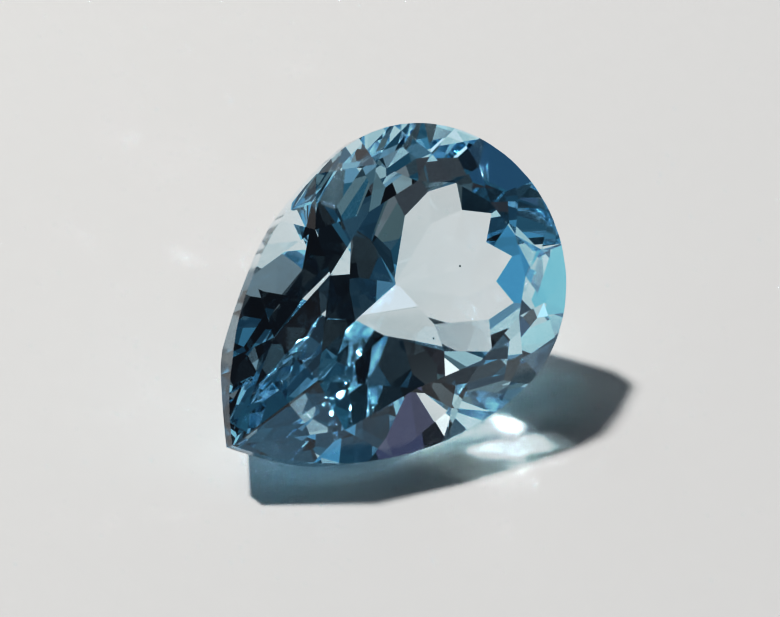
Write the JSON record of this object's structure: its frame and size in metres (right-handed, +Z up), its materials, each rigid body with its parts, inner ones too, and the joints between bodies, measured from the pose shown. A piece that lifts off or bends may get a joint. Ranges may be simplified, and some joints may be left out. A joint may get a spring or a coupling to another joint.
{
  "type": "faceted pear-cut topaz gemstone",
  "caption": "Loose pear-cut blue topaz, lying tilted on a lower facet with its table facing up and forward.",
  "frame": {"origin": "centre of the footprint of the stone's box, on the surface that the stone lies on", "axes": "+Z up from the facet that the stone lies on, +Y away from a viewer who looks onto the table, +X to that viewer's right"},
  "size_m": [0.0122, 0.0124, 0.0092],
  "materials": {
    "topaz": "polished facets on clear pale blue topaz, index 1.62"
  },
  "bodies": {
    "root": {"cut_topaz": "topaz"}
  },
  "joints": []
}
